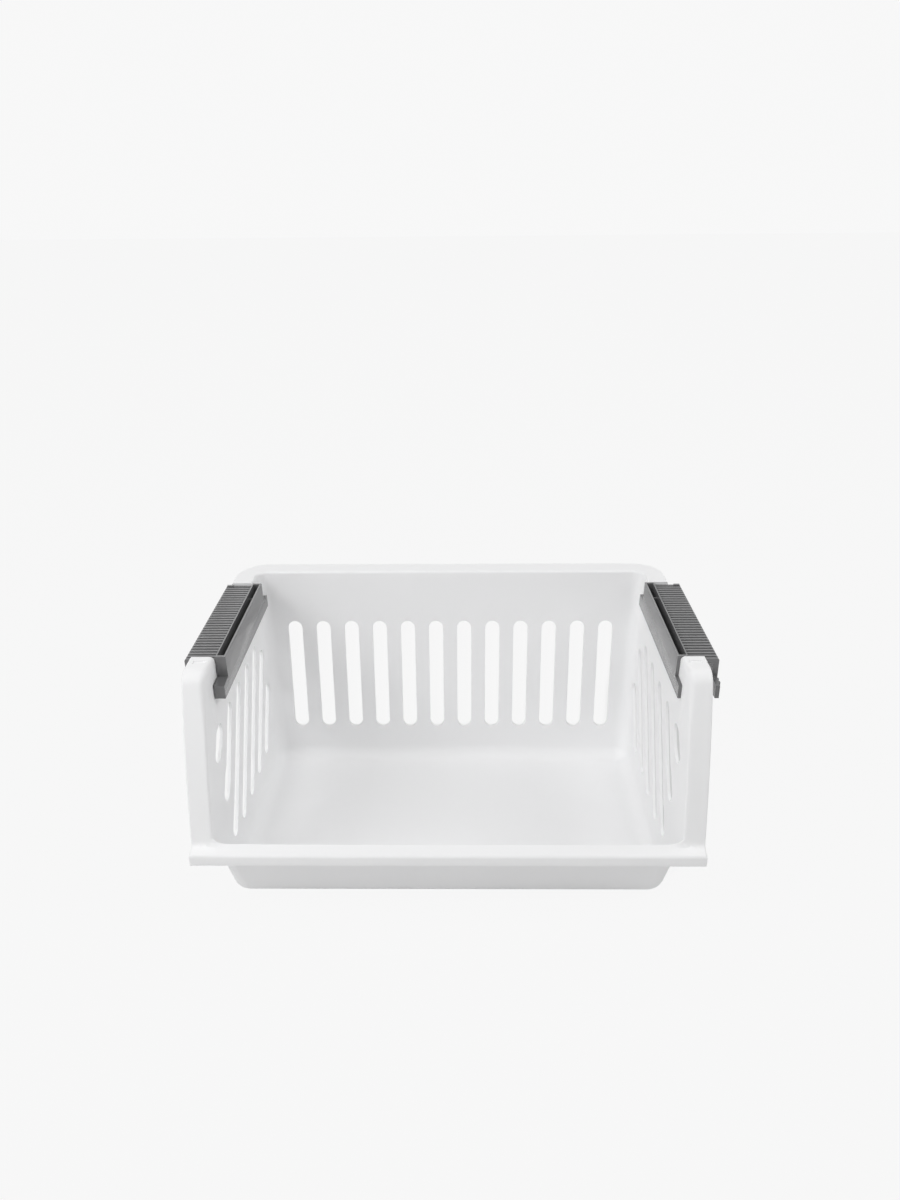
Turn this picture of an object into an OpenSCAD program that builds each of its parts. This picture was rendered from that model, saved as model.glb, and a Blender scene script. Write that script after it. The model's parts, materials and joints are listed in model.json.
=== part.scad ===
// Stackable storage basket: one white moulded tub with an open front and two
// dark ribbed stacking clips that straddle the side rims and slide in and out.
// Millimetres, +Z up, the front faces -Y, the origin is on the table under the middle.

/* [Basket] */
// Width over the rim, left to right
rim_w = 350; // [280:1:420]
// Depth from the nose of the front lip to the back edge of the rim
basket_d = 228; // [215:1:320]
// Height from the table to the top of the rim
basket_h = 175; // [150:1:240]
// Thickness of the walls and the floor
wall_t = 2.2; // [1.6:0.1:3]
// Slope of the side walls from upright, in degrees
side_draft = 1.4; // [1:0.1:3]
// Slope of the back wall from upright, in degrees
back_draft = 3.5; // [1:0.1:5]
// Slope of the low front wall from upright, in degrees
front_draft = 16.8; // [8:0.1:22]
// Outside radius where the walls turn into the floor
base_r = 14; // [8:0.5:20]
// Inside radius of the upright corners at the rim
corner_r = 9; // [6:0.5:14]

/* [Rim] */
// Width of the flat band along the sides
side_band = 16.3; // [13:0.1:22]
// Width of the flat band along the back
back_band = 17.5; // [13:0.1:24]
// Thickness of the rim band, the posts and the lip
rim_t = 2.4; // [1.8:0.1:3.2]
// Height of the turned-down edge of the rim
rim_skirt = 6; // [4:0.5:8]
// Outside radius of the two back corners of the rim
rim_corner_r = 25; // [20:0.5:32]

/* [Front] */
// Height of the front lip above the table
lip_h = 55.9; // [45:0.1:70]
// Depth of the lip from its nose to the inside of the front wall
lip_band = 10.5; // [8:0.5:14]
// Forward slope of the top of the lip, in degrees
lip_slope = 12; // [4:1:20]
// Radius of the nose of the lip
nose_r = 2.5; // [2.4:0.1:4]
// Height of the turned-down edge of the lip
lip_skirt = 8.4; // [6:0.1:12]
// Radius of the hollow between a post and the lip
foot_r = 4; // [2.5:0.5:8]
// Straight stretch of the lip between that hollow and the nose
lip_run = 3.8; // [0.5:0.1:5]
// Width of the face of each post, up to the open mouth
post_band = 15.3; // [12:0.1:16]
// Length over which the side walls spread out to the posts, at the lip
mouth_run = 44; // [34:1:56]
// Length of the flat top of a post ahead of the clip
post_flat = 15.5; // [8:0.5:24]
// Radius of the bend at the top of a post
post_r = 11; // [8:0.5:16]
// Lean of the post face from upright just under the bend, in degrees
post_lean_top = 18.3; // [12:0.1:22]
// Lean of the post face from upright at its foot, in degrees
post_lean_foot = 9.3; // [5:0.1:11]
// Length and width of the shallow dent on each post top
dent_size = [8.6, 4]; // [2:0.1:10]
// Depth of that dent
dent_t = 0.5; // [0.2:0.1:1]

/* [Slots] */
// Width of every slot
slot_w = 12; // [8:0.5:14]
// Number of upright slots in the back wall
back_slots = 12; // [6:1:13]
// Distance between neighbouring back slots
back_pitch = 23.8; // [18:0.1:26]
// Distance from the rim down to the top of the back slots
slot_top = 44; // [36:0.5:60]
// Distance from the rim down to the bottom of the back slots
slot_bottom = 143.5; // [110:0.5:148]
// Distance from the rim down to the top of the side slots
side_slot_top = 48; // [40:0.5:64]
// Distance from the rim down to the bottom of the side slots
side_slot_bottom = 145; // [110:0.5:148]
// Distance between neighbouring slanted slots, along the wall
side_pitch = 29.1; // [24:0.1:34]
// Backward slant of the side slots from upright, in degrees
side_slant = 34.5; // [25:0.5:42]
// Distance from the front of the clip seat forward to the first slot ends
slots_ahead = 26.6; // [20:0.1:29]
// Forward lean of the lines through the slot ends, in degrees
slots_lean = 8; // [4:0.5:12]
// Distance from the last slot ends back to the edge of the back rim
slots_behind = 40.3; // [36:0.1:60]
// Distance from the start of that stretch to the top of the first slot
slots_lead = 18.8; // [14:0.1:24]

/* [Clips] */
// Distance from the back end of a clip to the edge of the back rim
clip_behind = 41; // [38:0.1:70]
// Length of the foot that stands out at each end of a clip leg
foot_l = 12.4; // [6:0.1:14]
// Distance from the rim top down to the bottom of the clip legs
leg_drop = 25.7; // [20:0.1:32]
// Distance from the rim top down to the root of each foot
foot_root = 15.3; // [12:0.1:16]
// Distance from the rim top down to the tip of each foot
foot_tip = 16.1; // [14.5:0.1:19]
// Thickness of the inner leg
inner_leg_t = 7.4; // [7.2:0.1:9]
// Thickness of the outer leg without its ribs
outer_leg_t = 2.8; // [2.5:0.1:6]
// Thickness of the clip's top plate under its ribs
plate_t = 2.2; // [1.6:0.1:3]
// Distance that the ribbed top lies below the rim top
plate_drop = 2; // [1:0.1:3]
// Height of the ribs
rib_h = 1.1; // [0.4:0.1:1.4]
// Distance between neighbouring ribs
rib_pitch = 4.13; // [3:0.01:6]
// Width of each rib
rib_w = 2.2; // [1.4:0.1:2.6]
// Outside radius of the ribbed shoulder
shoulder_r = 1.5; // [1.5:0.1:6]
// Width of the long slot in the top of the inner leg
groove_w = 4.9; // [2:0.1:5]
// Thickness of the thin wall between that slot and the ribs
fence_t = 1.2; // [1:0.1:1.6]
// Depth of that slot below the rim top
groove_drop = 20; // [12:0.5:24]
// Thickness of the slot's end walls
groove_end = 2; // [1.2:0.1:4]
// Distance from the back end of the clip to the web across the slot
web_back = 19; // [8:0.5:40]
// Thickness of that web
web_t = 1.4; // [1:0.1:2]
// Distance from the rim top down to the top of that web
web_drop = 5; // [2:0.5:9]
// Width, length and height of the small nub at the outer back corner
nub_size = [4.6, 2.4, 0.8]; // [0.4:0.1:6]
// Distance from the outer face of the ribs in to that nub
nub_inset = 1; // [0.5:0.1:2]
// How far a clip slides sideways, from pushed in to pulled out
slide_travel = 5.5; // [3:0.1:8]

/* [Clearances] */
// Gap between a clip's inner leg and the side wall
wall_gap = 0.35; // [0.2:0.05:1]
// Gap between the edge of the rim and the outer leg of a clip that is pushed in
edge_gap = 0.5; // [0.3:0.1:2]
// Gap around a clip in its seat and its pocket, front, back and below
end_gap = 0.35; // [0.2:0.05:1]
// Gap between a clip's plate and the seat under it
seat_gap = 0.2; // [0.1:0.05:0.5]

/* [Hidden] */

arc_step = 9; // degrees between the points of a small arc
face_steps = 10; // chords along the long curve of a post face
slip = 1; // overrun of cutting shapes past the faces that they cut
ring = 0.05; // height of the thin discs that shape the walls
corner_fn = 32;
front_flare = 0.5; // how fast the open mouth widens forward above the lip
mouth_lean = 0.236; // how far the spread of the side walls moves back with height, like the posts
mouth_reach = 14; // how far the cut for the mouth reaches ahead of the posts
mouth_r = 5; // inside radius of the two front corners at the lip
skin = 0.05; // small step between faces that would otherwise fall together

white_plastic = [0.93, 0.93, 0.94];
grey_plastic = [0.36, 0.36, 0.37];

// Inside faces of the walls at a height, and the front wall at the lip
function side_in(z) = rim_w / 2 - side_band - (basket_h - z) * tan(side_draft);
function back_in(z) = basket_d / 2 - back_band - (basket_h - z) * tan(back_draft);
lip_back = -basket_d / 2 + lip_band;
lip_back_z = lip_h + lip_band * tan(lip_slope);
function front_in(z) = lip_back + (lip_back_z - z) * tan(front_draft);
mouth_x = rim_w / 2 - post_band;

// Side outline of the posts and the lip, worked out from the nose of the lip backwards
nose_c = [-basket_d / 2 + nose_r, lip_h - nose_r];
lip_up = [cos(90 + lip_slope), sin(90 + lip_slope)];
hollow_end = nose_c + nose_r * lip_up + lip_run * [cos(lip_slope), sin(lip_slope)];
hollow_c = hollow_end + foot_r * lip_up;
foot_out = [-cos(post_lean_foot), sin(post_lean_foot)];
face_foot = hollow_c - foot_r * foot_out;
bend_z = basket_h - post_r;
face_top_z = bend_z + post_r * sin(post_lean_top);
face_r = (face_top_z - face_foot[1]) / (sin(post_lean_top) - sin(post_lean_foot));
face_c = face_foot - face_r * foot_out;
bend_y = face_c[0] - (face_r - post_r) * cos(post_lean_top);
seat_front = bend_y + post_flat;
clip_front = seat_front + end_gap;
clip_l = basket_d / 2 - clip_behind - clip_front;
seat_back = clip_front + clip_l + end_gap;

// Heights of the clip and its seat
ribs_z = basket_h - plate_drop;
plate_z = ribs_z - rib_h;
under_z = plate_z - plate_t;
seat_z = under_z - seat_gap;
legs_z = basket_h - leg_drop;
rim_x = rim_w / 2;
outer_leg_x = rim_x + edge_gap;
plate_x = outer_leg_x + outer_leg_t;
fence_x = side_in(basket_h) - wall_gap;
function leg_wall_x(z) = side_in(z) - wall_gap;
function leg_in_x(z) = leg_wall_x(z) - inner_leg_t;
function pocket_x(z) = side_in(z) + slide_travel;

// Points on an arc of the side outline: c is its middle, r its radius, a0 and a1 its angles
function on_arc(c, r, a) = c + r * [cos(a), sin(a)];
function arc(c, r, a0, a1, n) = [for (i = [0:n]) on_arc(c, r, a0 + (a1 - a0) * i / n)];
function steps(turn) = max(2, ceil(abs(turn) / arc_step));
function flip(list) = [for (i = [len(list) - 1:-1:0]) list[i]];

// The bend, the face and the hollow of a post, drawn a distance inside its outer surface
function post_line(inset) = concat(
    arc([bend_y, bend_z], post_r - inset, 90, 180 - post_lean_top, steps(90 - post_lean_top)),
    arc(face_c, face_r - inset, 180 - post_lean_top, 180 - post_lean_foot, face_steps),
    arc(hollow_c, -(foot_r + inset), 180 - post_lean_foot, 90 + lip_slope,
        steps(90 - post_lean_foot - lip_slope)));

// The nose and the turned-down edge of the lip, drawn a distance inside its outer surface
function nose_line(inset) = concat(
    arc(nose_c, max(nose_r - inset, 0.05), 90 + lip_slope, 180, steps(90 - lip_slope)),
    [[-basket_d / 2 + inset, lip_h - lip_skirt]]);

// Turns a drawing in Y and Z into a bar between two places across the width
module across(x0, x1) {
    translate([x0, 0, 0]) rotate([90, 0, 90]) linear_extrude(height = x1 - x0) children();
}

// Turns a drawing in X and Z into a bar between two places along the depth
module along(y0, y1) {
    translate([0, y1, 0]) rotate([90, 0, 0]) linear_extrude(height = y1 - y0) children();
}

// Four discs at one height, just inside the walls, grown outwards by a thickness
module disc_ring(z, grow, front_y) {
    r = corner_r + grow;
    for (side = [-1, 1])
        for (y = [front_y - grow + r, back_in(z) + grow - r])
            translate([side * (side_in(z) + grow - r), y, z - ring])
                cylinder(r = r, h = ring, $fn = corner_fn);
}

// The closed lower tray with its rounded bottom
module tray(grow) {
    r = base_r - wall_t + grow;
    x = side_in(base_r) - (base_r - wall_t) / cos(side_draft);
    yb = back_in(base_r) - (base_r - wall_t) / cos(back_draft);
    yf = front_in(base_r) + (base_r - wall_t) / cos(front_draft);
    hull() {
        for (side = [-1, 1])
            for (y = [yf, yb])
                translate([side * x, y, base_r]) sphere(r = r / cos(180 / corner_fn), $fn = corner_fn);
        disc_ring(lip_back_z, grow, lip_back);
    }
}

// The walls above the lip, with a mouth that widens forwards
module upper(grow, top_z) {
    hull() {
        disc_ring(lip_back_z, grow, lip_back);
        disc_ring(top_z, grow, lip_back - front_flare * (top_z - lip_back_z));
    }
}

// A solid between two plan outlines with equal numbers of points
module loft(low, low_z, high, high_z) {
    n = len(low);
    polyhedron(
        concat([for (p = low) [p[0], p[1], low_z]], [for (p = high) [p[0], p[1], high_z]]),
        concat(
            [[for (i = [0:n - 1]) i]], [[for (i = [n - 1:-1:0]) n + i]],
            [for (i = [0:n - 1]) [i, n + i, (i + 1) % n]],
            [for (i = [0:n - 1]) [(i + 1) % n, n + i, n + (i + 1) % n]]));
}

// Plan of the spread mouth: half width and place of its back and its front, round front corners
function mouth_plan(back_x, back_y, front_x, front_y, r) = concat(
    [[back_x, back_y], [-back_x, back_y]],
    arc([r - front_x, front_y + r], r, 180, 270, 6),
    arc([front_x - r, front_y + r], r, 270, 360, 6));

// Plan of the mouth above the lip, open past the posts
function open_plan(back_x, back_y, front_x, front_y) = [
    [back_x, back_y], [-back_x, back_y], [-front_x, front_y], [-front_x, front_y - mouth_reach],
    [front_x, front_y - mouth_reach], [front_x, front_y]];

// The spread of the side walls to the posts: from the rounded bottom up to the lip, and above it
module mouth(grow, top_z) {
    low_x = side_in(base_r) + grow - skin;
    low_y = front_in(base_r) - grow + skin;
    back_x = side_in(lip_back_z) + grow - skin;
    front_y = lip_back - grow + skin;
    back_y = lip_back + mouth_run;
    shift = (top_z - lip_back_z) * mouth_lean;
    loft(mouth_plan(low_x, low_y + mouth_run, low_x, low_y, base_r - wall_t + grow), base_r,
        mouth_plan(back_x, back_y, mouth_x + grow, front_y, mouth_r + grow), lip_back_z);
    loft(open_plan(back_x, back_y, mouth_x + grow, lip_back), lip_back_z - skin,
        open_plan(back_x, back_y + shift, mouth_x + grow, lip_back + shift), top_z);
}

// Everything behind and below the posts and the lip, seen from the side
module behind_posts() {
    mid = rim_t / 2;
    far = basket_d / 2 + slip;
    across(-rim_w / 2, rim_w / 2)
        polygon(concat([[far, basket_h - mid]], post_line(mid), nose_line(mid),
            [[-basket_d / 2 + mid, -slip], [far, -slip]]));
}

// One side band that runs forward from the back corner, bends down as the post and meets the lip
module side_ribbon() {
    back_y = basket_d / 2 - rim_corner_r;
    across(side_in(lip_h) - wall_t, rim_x)
        polygon(concat([[back_y, basket_h]], post_line(0), flip(post_line(rim_t)),
            [[back_y, basket_h - rim_t]]));
    across(rim_x - rim_t, rim_x)
        polygon(concat([[back_y, basket_h]], post_line(0), flip(post_line(rim_skirt)),
            [[back_y, basket_h - rim_skirt]]));
}

// Shelf that carries a clip, let into the side band
module seat_shelf() {
    x0 = side_in(basket_h) - slip;
    translate([x0, seat_front - rim_t, seat_z - rim_t])
        cube([rim_x - x0, seat_back - seat_front + 2 * rim_t, basket_h - seat_z + rim_t]);
    translate([rim_x - rim_t, seat_front - rim_t, seat_z - rim_skirt])
        cube([rim_t, seat_back - seat_front + 2 * rim_t, rim_skirt]);
}

module seat_cut() {
    x0 = side_in(basket_h) - slip;
    translate([x0, seat_front, seat_z])
        cube([rim_x - x0 + slip, seat_back - seat_front, basket_h - seat_z + slip]);
}

// Room behind the inner leg of a clip, of the clip's own outline, grown by a thickness
module leg_pocket(grow) {
    z0 = legs_z - end_gap - grow;
    margin = end_gap + grow;
    intersection() {
        across(side_in(legs_z) - inner_leg_t, rim_x) clip_outline(margin);
        along(clip_front - foot_l - margin, clip_front + clip_l + foot_l + margin)
            polygon([
                [side_in(z0) - inner_leg_t, z0], [pocket_x(z0) + grow, z0],
                [pocket_x(basket_h) + grow, basket_h + slip],
                [side_in(basket_h) - inner_leg_t, basket_h + slip]]);
    }
}

// Shallow dent on the flat of a post
module post_dent() {
    x_mid = (side_in(basket_h) + rim_x) / 2;
    translate([x_mid - dent_size[0] / 2, bend_y + (post_flat - dent_size[1]) / 2, basket_h - dent_t])
        cube([dent_size[0], dent_size[1], dent_t + slip]);
}

// Section of the back rim: a band with a turned-down edge, measured from an upright line
module rim_section(reach) {
    translate([0, basket_h - rim_t]) square([reach, rim_t]);
    translate([reach - rim_t, basket_h - rim_skirt]) square([rim_t, rim_skirt]);
}

module back_rim() {
    mid_y = basket_d / 2 - rim_corner_r;
    across(-rim_w / 2 + rim_corner_r, rim_w / 2 - rim_corner_r)
        translate([mid_y, 0]) rim_section(rim_corner_r);
    for (side = [0, 1])
        mirror([side, 0, 0])
            translate([rim_w / 2 - rim_corner_r, mid_y, 0])
                rotate_extrude(angle = 90, $fn = 96) rim_section(rim_corner_r);
}

module front_lip() {
    inner_y = lip_back + wall_t;
    inner_z = lip_back_z + wall_t * tan(lip_slope);
    across(-rim_w / 2, rim_w / 2)
        polygon(concat([[inner_y, inner_z]], nose_line(0), flip(nose_line(rim_t)),
            [[inner_y, inner_z - rim_t]]));
}

// A round-ended slot drawn between two tips
module slot_shape(tip_a, tip_b) {
    run = tip_b - tip_a;
    length = norm(run);
    translate(tip_a) rotate(atan2(run[1], run[0])) {
        translate([slot_w / 2, -slot_w / 2]) square([length - slot_w, slot_w]);
        for (x = [slot_w / 2, length - slot_w / 2])
            translate([x, 0]) circle(d = slot_w, $fn = 48);
    }
}

module back_slot_cuts() {
    first = -(back_slots - 1) / 2 * back_pitch;
    along(basket_d / 2 - 2 * back_band - rim_corner_r, basket_d / 2)
        for (i = [0:back_slots - 1])
            slot_shape([first + i * back_pitch, basket_h - slot_bottom],
                [first + i * back_pitch, basket_h - slot_top]);
}

// Slanted slots cut through both side walls, each shortened to the ends of the slotted stretch
module side_slot_cuts() {
    y0 = seat_front - slots_ahead;
    y1 = basket_d / 2 - slots_behind;
    z0 = basket_h - side_slot_bottom;
    z1 = basket_h - side_slot_top;
    shorten = tan(side_slant) + tan(slots_lean);
    last_foot = y1 - slot_w - y0 - slots_lead + (z1 - z0) * tan(side_slant);
    side_slots = 1 + floor(last_foot / side_pitch);
    across(-rim_w / 2 - slip, rim_w / 2 + slip)
        for (i = [0:side_slots - 1]) {
            top_y = y0 + slots_lead + i * side_pitch;
            low_z = max(z0, z1 - (top_y - y0) / shorten);
            high_z = min(z1, z1 - (top_y - y1) / shorten);
            slot_shape([top_y - (z1 - low_z) * tan(side_slant), low_z],
                [top_y - (z1 - high_z) * tan(side_slant), high_z]);
        }
}

module basket_body() {
    color(white_plastic) difference() {
        union() {
            intersection() {
                union() {
                    tray(wall_t);
                    upper(wall_t, basket_h);
                    mouth(wall_t, basket_h);
                }
                behind_posts();
            }
            back_rim();
            front_lip();
            for (side = [0, 1])
                mirror([side, 0, 0]) {
                    side_ribbon();
                    seat_shelf();
                    intersection() {
                        leg_pocket(wall_t);
                        behind_posts();
                    }
                }
        }
        tray(0);
        upper(0, basket_h + slip);
        mouth(0, basket_h + slip);
        for (side = [0, 1])
            mirror([side, 0, 0]) {
                seat_cut();
                leg_pocket(0);
                post_dent();
            }
        back_slot_cuts();
        side_slot_cuts();
    }
}

// Side outline of a clip, grown by a margin: a long top with a foot at both ends of the legs
module clip_outline(margin) {
    y0 = clip_front - margin;
    y1 = clip_front + clip_l + margin;
    root_z = basket_h - foot_root + margin;
    tip_z = basket_h - foot_tip + margin;
    low_z = legs_z - margin;
    polygon([
        [y0, basket_h + slip], [y0, root_z], [y0 - foot_l, tip_z], [y0 - foot_l, low_z],
        [y1 + foot_l, low_z], [y1 + foot_l, tip_z], [y1, root_z], [y1, basket_h + slip]]);
}

// Section of a clip across the rim: inner leg, fence, plate and outer leg
module clip_section() {
    shoulder = shoulder_r - rib_h;
    polygon(concat(
        [[leg_in_x(legs_z), legs_z], [leg_in_x(basket_h), basket_h], [fence_x, basket_h], [fence_x, plate_z]],
        arc([plate_x - shoulder, plate_z - shoulder], shoulder, 90, 0, steps(90)),
        [[plate_x, legs_z], [outer_leg_x, legs_z], [outer_leg_x, under_z],
            [leg_wall_x(under_z), under_z], [leg_wall_x(legs_z), legs_z]]));
}

// One rib: over the plate, round the shoulder and down the outer leg
module rib_section() {
    x1 = plate_x + rib_h;
    sunk = plate_t / 2;
    polygon(concat(
        [[fence_x - fence_t / 2, ribs_z]],
        arc([x1 - shoulder_r, ribs_z - shoulder_r], shoulder_r, 90, 0, steps(90)),
        [[x1, legs_z], [plate_x - sunk, legs_z], [plate_x - sunk, plate_z - sunk],
            [fence_x - fence_t / 2, plate_z - sunk]]));
}

// The long slot in the top of the inner leg, parallel to the side wall
module groove_section(drop) {
    z0 = basket_h - drop;
    z1 = basket_h + slip;
    x0 = leg_wall_x(z0) - fence_t;
    x1 = leg_wall_x(z1) - fence_t;
    polygon([[x0 - groove_w, z0], [x1 - groove_w, z1], [x1, z1], [x0, z0]]);
}

// A clip on the right-hand rim, pushed in until its outer leg meets the edge of the rim
module clip() {
    clip_back = clip_front + clip_l;
    mid_y = (clip_front + clip_back) / 2;
    span = clip_l + 2 * foot_l;
    ribs = 2 * floor((span - rib_w) / rib_pitch / 2);
    web_y = clip_back - web_back;
    intersection() {
        union() {
            along(clip_front - foot_l, clip_back + foot_l) clip_section();
            for (i = [0:ribs]) {
                y = mid_y + (i - ribs / 2) * rib_pitch;
                along(y - rib_w / 2, y + rib_w / 2) rib_section();
            }
        }
        difference() {
            across(leg_in_x(legs_z) - slip, plate_x + rib_h + slip) clip_outline(0);
            along(clip_front + groove_end, web_y - web_t / 2) groove_section(groove_drop);
            along(web_y + web_t / 2, clip_back - groove_end) groove_section(groove_drop);
            along(clip_front + groove_end, clip_back - groove_end) groove_section(web_drop);
        }
    }
    translate([plate_x + rib_h - nub_inset - nub_size[0], clip_back - nub_size[1], under_z])
        cube([nub_size[0], nub_size[1], ribs_z - under_z + nub_size[2]]);
}

// The left clip stands pushed in and the right clip pulled out
module left_clip() {
    color(grey_plastic) mirror([1, 0, 0]) clip();
}

module right_clip() {
    color(grey_plastic) translate([slide_travel, 0, 0]) clip();
}

basket_body();
left_clip();
right_clip();
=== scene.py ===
import json
import math

import bmesh
import bpy
import numpy as np
from mathutils import Euler, Matrix

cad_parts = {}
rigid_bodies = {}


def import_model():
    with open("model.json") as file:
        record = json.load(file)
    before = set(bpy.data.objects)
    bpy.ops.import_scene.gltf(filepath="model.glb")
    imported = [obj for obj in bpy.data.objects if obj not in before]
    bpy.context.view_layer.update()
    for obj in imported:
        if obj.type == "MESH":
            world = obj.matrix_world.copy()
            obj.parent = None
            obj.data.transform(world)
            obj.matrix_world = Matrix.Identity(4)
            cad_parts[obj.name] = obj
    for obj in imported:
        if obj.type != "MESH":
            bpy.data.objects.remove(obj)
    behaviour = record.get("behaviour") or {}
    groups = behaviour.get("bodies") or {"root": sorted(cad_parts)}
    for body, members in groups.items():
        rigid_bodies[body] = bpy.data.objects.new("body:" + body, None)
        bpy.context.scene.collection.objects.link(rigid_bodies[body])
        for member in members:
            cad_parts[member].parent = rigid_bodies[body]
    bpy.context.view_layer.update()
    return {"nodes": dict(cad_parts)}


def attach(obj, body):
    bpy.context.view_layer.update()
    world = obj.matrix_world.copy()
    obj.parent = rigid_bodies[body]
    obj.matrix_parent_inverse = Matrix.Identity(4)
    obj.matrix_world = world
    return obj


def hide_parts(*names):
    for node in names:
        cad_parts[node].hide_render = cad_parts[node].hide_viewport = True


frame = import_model()
mm = 0.001
print("frame loaded", sorted(frame["nodes"]))


# shared helpers

def rad(angle):
    return math.radians(angle)


def unit(vectors):
    return vectors / np.linalg.norm(vectors, axis=-1, keepdims=True)


def ramp(value, low, high):
    # smooth step: 0 below low, 1 above high, 3t^2 - 2t^3 between
    t = np.clip((value - low) / (high - low), 0, 1)
    return t * t * (3 - 2 * t)


def ease(start, end, share):
    # start where the share is 0, end where it is 1
    return start + (end - start) * share


def roundCorner(start, corner, end, count):
    # conic arc from start to end that leans to the corner point; weight is the cosine of half the turn
    turn = (unit(corner - start) * unit(end - corner)).sum(-1)
    weight = np.sqrt((1 + np.clip(turn, -0.99, 1)) / 2)[:, None, None]
    t = np.linspace(0, 1, count)[None, :, None]
    k0, k1, k2 = (1 - t) ** 2, 2 * t * (1 - t) * weight, t ** 2
    return (k0 * start[:, None] + k1 * corner[:, None] + k2 * end[:, None]) / (k0 + k1 + k2)


def straight(start, end, shares):
    # points at the given shares of the way from start to end
    t = np.asarray(shares)[None, :, None]
    return start[:, None] * (1 - t) + end[:, None] * t


def gridFaces(rows, cols, closedRows=False, closedCols=False):
    # quads between neighbouring rows and columns of a grid
    i = np.arange(rows if closedRows else rows - 1)[:, None]
    j = np.arange(cols if closedCols else cols - 1)[None, :]
    i2, j2 = (i + 1) % rows, (j + 1) % cols
    quads = np.stack([i * cols + j, i2 * cols + j, i2 * cols + j2, i * cols + j2], -1)
    return quads.reshape(-1, 4).tolist()


def tubeFaces(rows, cols):
    # rings joined to a tube, with a cap on each end
    caps = [list(range(cols)), list(range((rows - 1) * cols, rows * cols))]
    return gridFaces(rows, cols, closedCols=True) + caps


def cleanMesh(mesh):
    # doubles are merged, slivers dissolved and faces turned outwards
    mergeGap, sliver = 2e-6, 1e-7
    work = bmesh.new()
    work.from_mesh(mesh)
    bmesh.ops.remove_doubles(work, verts=work.verts, dist=mergeGap)
    bmesh.ops.dissolve_degenerate(work, edges=work.edges, dist=sliver)
    bmesh.ops.recalc_face_normals(work, faces=work.faces)
    work.to_mesh(mesh)
    work.free()


def meshObject(name, points, faces, collection=None):
    # millimetre points go in as metres
    mesh = bpy.data.meshes.new(name)
    mesh.from_pydata((np.asarray(points).reshape(-1, 3) * mm).tolist(), [], faces)
    cleanMesh(mesh)
    made = bpy.data.objects.new(name, mesh)
    (collection or bpy.context.scene.collection).objects.link(made)
    return made


def sweptTool(name, rings, depths, place, collection):
    # one ring of (p, q) points for each depth; place(p, q, depth) gives the point in space
    p, q = rings[..., 0], rings[..., 1]
    grid = place(p, q, np.asarray(depths, float)[:, None] + 0 * p)
    return meshObject(name, grid, tubeFaces(*p.shape), collection)


def prism(name, outline, depths, place, collection):
    # the same outline at every depth
    return sweptTool(name, np.stack([outline] * len(depths)), depths, place, collection)


def box(name, xs, ys, zs, collection):
    outline = np.array([[xs[0], ys[0]], [xs[1], ys[0]], [xs[1], ys[1]], [xs[0], ys[1]]], float)
    return prism(name, outline, zs, lambda p, q, d: np.stack([p, q, d], -1), collection)


def span(side, near, far, shift=0):
    # low and high x of a stretch that is counted outwards on either side
    return sorted((side * near + shift, side * far + shift))


def toolGroup(name):
    group = bpy.data.collections.new(name)
    bpy.context.scene.collection.children.link(group)
    return group


def carve(target, added, removed):
    # joins one collection to the target, cuts another from it, and keeps the result as plain mesh
    for label, operation, group in (("join", "UNION", added), ("cut", "DIFFERENCE", removed)):
        if group.objects:
            step = target.modifiers.new(label, "BOOLEAN")
            step.operation, step.solver = operation, "EXACT"
            step.operand_type, step.collection = "COLLECTION", group
    bpy.context.view_layer.update()
    depsgraph = bpy.context.evaluated_depsgraph_get()
    done = bpy.data.meshes.new_from_object(target.evaluated_get(depsgraph))
    target.modifiers.clear()
    target.data = done
    for group in (added, removed):
        for tool in list(group.objects):
            bpy.data.objects.remove(tool)
        bpy.data.collections.remove(group)
    cleanMesh(target.data)


def smoothFaces(target, angle):
    target.data.polygons.foreach_set("use_smooth", np.ones(len(target.data.polygons), bool))
    target.data.set_sharp_from_angle(angle=rad(angle))


# white tub: tray, walls, rim, posts and lip are one moulding (mm and degrees)
tub = {
    "rimWidth": 350, "depth": 228, "height": 175, "wall": 2.2,
    "sideDraft": 1.4, "backDraft": 3.5, "frontDraft": 16.8, "baseRadius": 14, "cornerRadius": 9,
    "sideBand": 16.3, "backBand": 17.5, "rimThick": 2.4, "rimSkirt": 6, "rimCorner": 25,
    "lipHeight": 55.9, "lipBand": 10.5, "lipSlope": 12, "noseRadius": 2.5, "lipSkirt": 8.4, "lipTip": 0.8,
    "footRadius": 4, "lipRun": 3.8, "hollowSpread": (149, 159), "hollowReach": 12, "mouthCorner": (9, 3.4),
    "postFlat": 15.5, "postRadius": 11, "leanTop": 18.3, "leanFoot": 9.3, "postBand": 15.3,
    "postSpread": 16, "postStretch": 26, "dent": (8.6, 4, 0.7),
    "rimEdge": 1.8, "postEdge": 4.5, "footEdge": 1.8, "edgeEase": (12, 50), "lipEdge": 1.0,
    "outerEdge": 1.3, "skirtEdge": 0.5, "sharpAngle": 20,
}
columnCounts = {"back": 6, "corner": 16, "side": 8, "bend": 12, "post": 26, "mouth": 24, "lip": 7}
half = tub["rimWidth"] / 2
height = tub["height"]
backY = tub["depth"] / 2
thick = tub["rimThick"]
slope, leanTop, leanFoot = rad(tub["lipSlope"]), rad(tub["leanTop"]), rad(tub["leanFoot"])
lipBack = -backY + tub["lipBand"]
lipBackZ = tub["lipHeight"] + tub["lipBand"] * math.tan(slope)


def sideIn(z):
    # inner face of a side wall: rim half width less the band, less the draft below the rim
    return half - tub["sideBand"] - (height - z) * math.tan(rad(tub["sideDraft"]))


def backIn(z):
    # inner face of the back wall, in the same way
    return backY - tub["backBand"] - (height - z) * math.tan(rad(tub["backDraft"]))


def frontIn(z):
    # inner face of the front wall, drafted down from the back edge of the lip
    return lipBack + (lipBackZ - z) * math.tan(rad(tub["frontDraft"]))


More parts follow.
